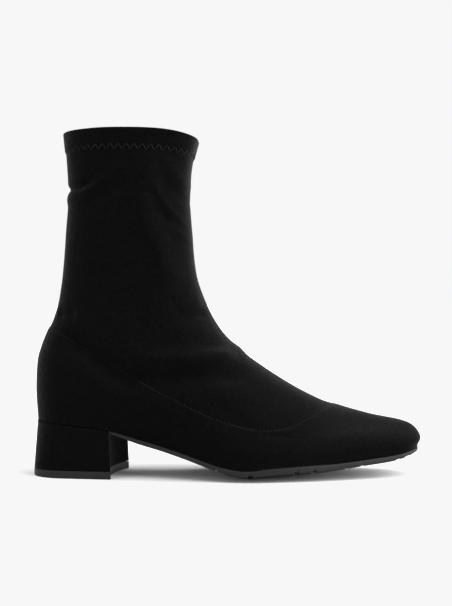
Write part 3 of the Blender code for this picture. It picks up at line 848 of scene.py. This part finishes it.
def soften_edges(piece, width, points=None):
    """Rounds the sharp edges of a piece, or the edges between some of its points."""
    bevel = piece.modifiers.new("soft_edges", "BEVEL")
    bevel.width = width / METRE
    bevel.segments = BEVEL_SEGMENTS
    bevel.limit_method = "ANGLE"
    bevel.angle_limit = math.radians(BEVEL_ANGLE)
    if points is not None:
        group = piece.vertex_groups.new(name="soft_edges")
        group.add(points, 1.0, "REPLACE")
        bevel.limit_method = "VGROUP"
        bevel.vertex_group = group.name


def new_material(name):
    material = bpy.data.materials.new(name)
    material.use_nodes = True
    nodes = material.node_tree.nodes
    return material, nodes, material.node_tree.links, nodes["Principled BSDF"]


def set_inputs(node, values):
    """Sets sockets of a node to the values given by their names."""
    for name, value in values.items():
        node.inputs[name].default_value = value


def noise(nodes, links, place, scale, detail, roughness=0.5):
    """A noise texture in the piece's own coordinates, with scale in bumps per metre."""
    texture = nodes.new("ShaderNodeTexNoise")
    set_inputs(texture, {"Scale": scale, "Detail": detail, "Roughness": roughness})
    links.new(place, texture.inputs["Vector"])
    return texture.outputs["Fac"]


def ramp(nodes, links, value, colours, span=COLOUR_SPAN):
    """Two colours that run into each other as the value crosses the span."""
    node = nodes.new("ShaderNodeValToRGB")
    for element, position, colour in zip(node.color_ramp.elements, span, colours):
        element.position = position
        element.color = (*colour, 1.0)
    links.new(value, node.inputs["Fac"])
    return node.outputs["Color"]


def bump(nodes, links, height, distance, strength, below=None):
    """A bump of this height in millimetres, on top of another one if given."""
    node = nodes.new("ShaderNodeBump")
    set_inputs(node, {"Distance": distance / METRE, "Strength": strength})
    links.new(height, node.inputs["Height"])
    if below is not None:
        links.new(below, node.inputs["Normal"])
    return node.outputs["Normal"]


def between(nodes, links, value, low, high):
    """Smooth step from 0 to 1 as a length in metres goes from low to high, given in millimetres."""
    node = nodes.new("ShaderNodeMapRange")
    node.interpolation_type = "SMOOTHSTEP"
    set_inputs(node, {"From Min": low / METRE, "From Max": high / METRE})
    links.new(value, node.inputs["Value"])
    return node.outputs["Result"]


def combined(nodes, links, operation, first, second):
    """Result of a sum or a product of two values."""
    node = nodes.new("ShaderNodeMath")
    node.operation = operation
    links.new(first, node.inputs[0])
    links.new(second, node.inputs[1])
    return node.outputs["Value"]


def own_place(nodes):
    return nodes.new("ShaderNodeTexCoord").outputs["Object"]


def painted_highlight_share(nodes, links, place):
    """How far the painted highlight shows, from 0 to 1 on top of the toe."""
    axes = nodes.new("ShaderNodeSeparateXYZ")
    links.new(place, axes.inputs["Vector"])
    on_toe = between(nodes, links, axes.outputs["X"], TOE_PAINTED_HIGHLIGHT["start"], TOE_PAINTED_HIGHLIGHT["full"])
    on_top = between(nodes, links, axes.outputs["Z"], TOE_PAINTED_HIGHLIGHT["low"], TOE_PAINTED_HIGHLIGHT["high"])
    return combined(nodes, links, "MULTIPLY", on_toe, on_top)


def suede_material():
    """Black microsuede: short nap with a soft sheen, and a painted highlight on top of the toe."""
    material, nodes, links, shader = new_material("suede")
    place = own_place(nodes)
    nap = noise(nodes, links, place, **NAP)
    colour = nodes.new("ShaderNodeMixRGB")
    # The lighter colour mixed in on top of the toe is a painted highlight.
    links.new(painted_highlight_share(nodes, links, place), colour.inputs["Fac"])
    links.new(ramp(nodes, links, nap, PLAIN_SUEDE, NAP_SPAN), colour.inputs["Color1"])
    links.new(ramp(nodes, links, nap, PAINTED_HIGHLIGHT_SUEDE, NAP_SPAN), colour.inputs["Color2"])
    links.new(colour.outputs["Color"], shader.inputs["Base Color"])
    tufts = bump(nodes, links, noise(nodes, links, place, **TUFTS), **TUFT_BUMP)
    fibres = bump(nodes, links, noise(nodes, links, place, **FIBRES), **FIBRE_BUMP, below=tufts)
    links.new(fibres, shader.inputs["Normal"])
    set_inputs(shader, SUEDE_SHADER)
    return material


def thread_material():
    material, nodes, links, shader = new_material("thread")
    twist = noise(nodes, links, own_place(nodes), **THREAD_TWIST)
    links.new(ramp(nodes, links, twist, THREAD_COLOURS), shader.inputs["Base Color"])
    links.new(bump(nodes, links, twist, **THREAD_BUMP), shader.inputs["Normal"])
    set_inputs(shader, THREAD_SHADER)
    return material


def lining_material():
    """Fine knit on the inner face of the fabric."""
    material, nodes, links, shader = new_material("lining")
    place = own_place(nodes)
    cloud = noise(nodes, links, place, **LINING_CLOUD)
    links.new(ramp(nodes, links, cloud, LINING_COLOURS), shader.inputs["Base Color"])
    knit = nodes.new("ShaderNodeTexWave")
    knit.bands_direction = "Z"
    set_inputs(knit, LINING_KNIT)
    links.new(place, knit.inputs["Vector"])
    links.new(bump(nodes, links, knit.outputs["Fac"], **LINING_BUMP), shader.inputs["Normal"])
    set_inputs(shader, LINING_SHADER)
    return material


def rubber_material():
    """Dark grey rubber with a satin, slightly uneven surface."""
    material, nodes, links, shader = new_material("rubber")
    place = own_place(nodes)
    cloud = noise(nodes, links, place, **RUBBER_CLOUD)
    links.new(ramp(nodes, links, cloud, RUBBER_COLOURS), shader.inputs["Base Color"])
    rough = nodes.new("ShaderNodeMapRange")
    set_inputs(rough, RUBBER_ROUGHNESS)
    links.new(noise(nodes, links, place, **RUBBER_SCUFFS), rough.inputs["Value"])
    links.new(rough.outputs["Result"], shader.inputs["Roughness"])
    grain = noise(nodes, links, place, **RUBBER_GRAIN)
    links.new(bump(nodes, links, grain, **RUBBER_BUMP), shader.inputs["Normal"])
    set_inputs(shader, RUBBER_SHADER)
    return material


def sock_material():
    """Plain smooth covering of the insole."""
    material, nodes, links, shader = new_material("sock")
    place = own_place(nodes)
    cloud = noise(nodes, links, place, **SOCK_CLOUD)
    links.new(ramp(nodes, links, cloud, SOCK_COLOURS), shader.inputs["Base Color"])
    grain = nodes.new("ShaderNodeTexVoronoi")
    set_inputs(grain, SOCK_GRAIN)
    links.new(place, grain.inputs["Vector"])
    links.new(bump(nodes, links, grain.outputs["Distance"], **SOCK_BUMP), shader.inputs["Normal"])
    set_inputs(shader, SOCK_SHADER)
    return material


def make_upper(suede, lining):
    rings, first, last = upper_rings()
    count, around = rings.shape[:2]
    faces = ring_faces(count, around, closed=True)
    piece = make_piece("upper_suede", rings.reshape(-1, 3), faces, (suede, lining), "suede", ["upper"])
    inside = np.zeros(len(faces), np.int32)
    inside[first * around : last * around] = 1
    piece.data.polygons.foreach_set("material_index", inside)


def make_stitches(thread):
    make_piece("seam_stitches", *seam_stitches(), (thread,), "suede")
    make_piece("hem_zigzag", *zigzag_stitches(0.0), (thread,), "suede")
    make_piece("hem_zigzag_inside", *zigzag_stitches(FABRIC), (thread,), "suede")


def make_heel(suede, rubber):
    rings = heel_rings()
    around = rings.shape[1]
    faces = capped_faces(*rings.shape[:2])
    heel = make_piece("heel_cover", rings.reshape(-1, 3), faces, (suede,), "suede", ["heel"])
    base_edge = list(range(around))
    corners = (0, HEEL_AROUND - 1)
    breast_edges = [ring * around + corner for ring in range(HEEL_RINGS - 1) for corner in corners]
    soften_edges(heel, HEEL_BEVEL, base_edge + breast_edges)
    rings = top_piece_rings()
    faces = capped_faces(*rings.shape[:2])
    lift = make_piece("heel_lift", rings.reshape(-1, 3), faces, (rubber,), "rubber", ["heel_top_piece"])
    soften_edges(lift, TOP_PIECE_BEVEL)


def make_sole(name, sections, material, slot, node):
    """A sole from sections that run from back to front, with its faces turned outward."""
    faces = [face[::-1] for face in capped_faces(*sections.shape[:2])]
    make_piece(name, sections.reshape(-1, 3), faces, (material,), slot, [node])


def make_floor():
    half = FLOOR_SIZE / 2.0
    mesh = bpy.data.meshes.new("floor")
    corners = [(-half, -half, 0.0), (half, -half, 0.0), (half, half, 0.0), (-half, half, 0.0)]
    mesh.from_pydata(corners, [], [(0, 1, 2, 3)])
    material, _, _, shader = new_material("floor")
    set_inputs(shader, FLOOR_SHADER)
    mesh.materials.append(material)
    floor = bpy.data.objects.new("floor", mesh)
    bpy.context.scene.collection.objects.link(floor)


def softbox(nodes, links, direction, towards, end, full, radiance):
    """Light of one soft box in a direction of the sky, strongest where that is the box's own."""
    length = math.hypot(*towards)
    facing = nodes.new("ShaderNodeVectorMath")
    facing.operation = "DOT_PRODUCT"
    facing.inputs[1].default_value = [value / length for value in towards]
    links.new(direction, facing.inputs[0])
    box = nodes.new("ShaderNodeMapRange")
    box.interpolation_type = "SMOOTHSTEP"
    set_inputs(box, {"From Min": end, "From Max": full, "To Max": radiance})
    links.new(facing.outputs["Value"], box.inputs["Value"])
    return box.outputs["Result"]


def make_light():
    """Soft boxes above the boot, behind it and on both sides, and a plain pale backdrop."""
    world = bpy.data.worlds.new("studio")
    world.use_nodes = True
    bpy.context.scene.world = world
    nodes = world.node_tree.nodes
    links = world.node_tree.links
    direction = nodes.new("ShaderNodeTexCoord").outputs["Generated"]
    total = softbox(nodes, links, direction, *SOFTBOXES[0])
    for values in SOFTBOXES[1:]:
        total = combined(nodes, links, "ADD", total, softbox(nodes, links, direction, *values))
    boxes = nodes["Background"]
    set_inputs(boxes, {"Color": (1.0, 1.0, 1.0, 1.0)})
    links.new(total, boxes.inputs["Strength"])
    backdrop = nodes.new("ShaderNodeBackground")
    set_inputs(backdrop, {"Color": (WHITE, WHITE, WHITE, 1.0)})
    seen = nodes.new("ShaderNodeMixShader")
    links.new(nodes.new("ShaderNodeLightPath").outputs["Is Camera Ray"], seen.inputs[0])
    links.new(boxes.outputs["Background"], seen.inputs[1])
    links.new(backdrop.outputs["Background"], seen.inputs[2])
    links.new(seen.outputs["Shader"], nodes["World Output"].inputs["Surface"])


def clip_white():
    """The floor and the backdrop run into each other in one tone."""
    settings = bpy.context.scene.view_settings
    settings.view_transform = "Standard"
    settings.use_curve_mapping = True
    mapping = settings.curve_mapping
    mapping.extend = "HORIZONTAL"
    curve = mapping.curves[COMBINED_CURVE]
    curve.points[1].location = (1.0, WHITE)
    curve.points.new(WHITE, WHITE)
    for point in curve.points:
        point.handle_type = "VECTOR"
    mapping.update()


def make_camera():
    turn = math.radians(CAMERA_AZIMUTH)
    data = bpy.data.cameras.new("camera")
    data.lens = LENS
    data.sensor_width = SENSOR
    camera = bpy.data.objects.new("camera", data)
    bpy.context.scene.collection.objects.link(camera)
    x = CAMERA_X + CAMERA_DISTANCE * math.sin(turn)
    y = -CAMERA_DISTANCE * math.cos(turn)
    camera.location = (x / METRE, y / METRE, CAMERA_HEIGHT / METRE)
    camera.rotation_euler = (math.pi / 2.0, 0.0, turn)
    bpy.context.scene.camera = camera


for old in list(bpy.data.objects):
    bpy.data.objects.remove(old)
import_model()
make_camera()
make_floor()
make_light()
clip_white()
suede = suede_material()
rubber = rubber_material()
make_upper(suede, lining_material())
make_stitches(thread_material())
make_heel(suede, rubber)
make_sole("rubber_outsole", outsole_sections(), rubber, "rubber", "outsole")
make_sole("insole_sock", insole_sections(), sock_material(), "sock", "insole")
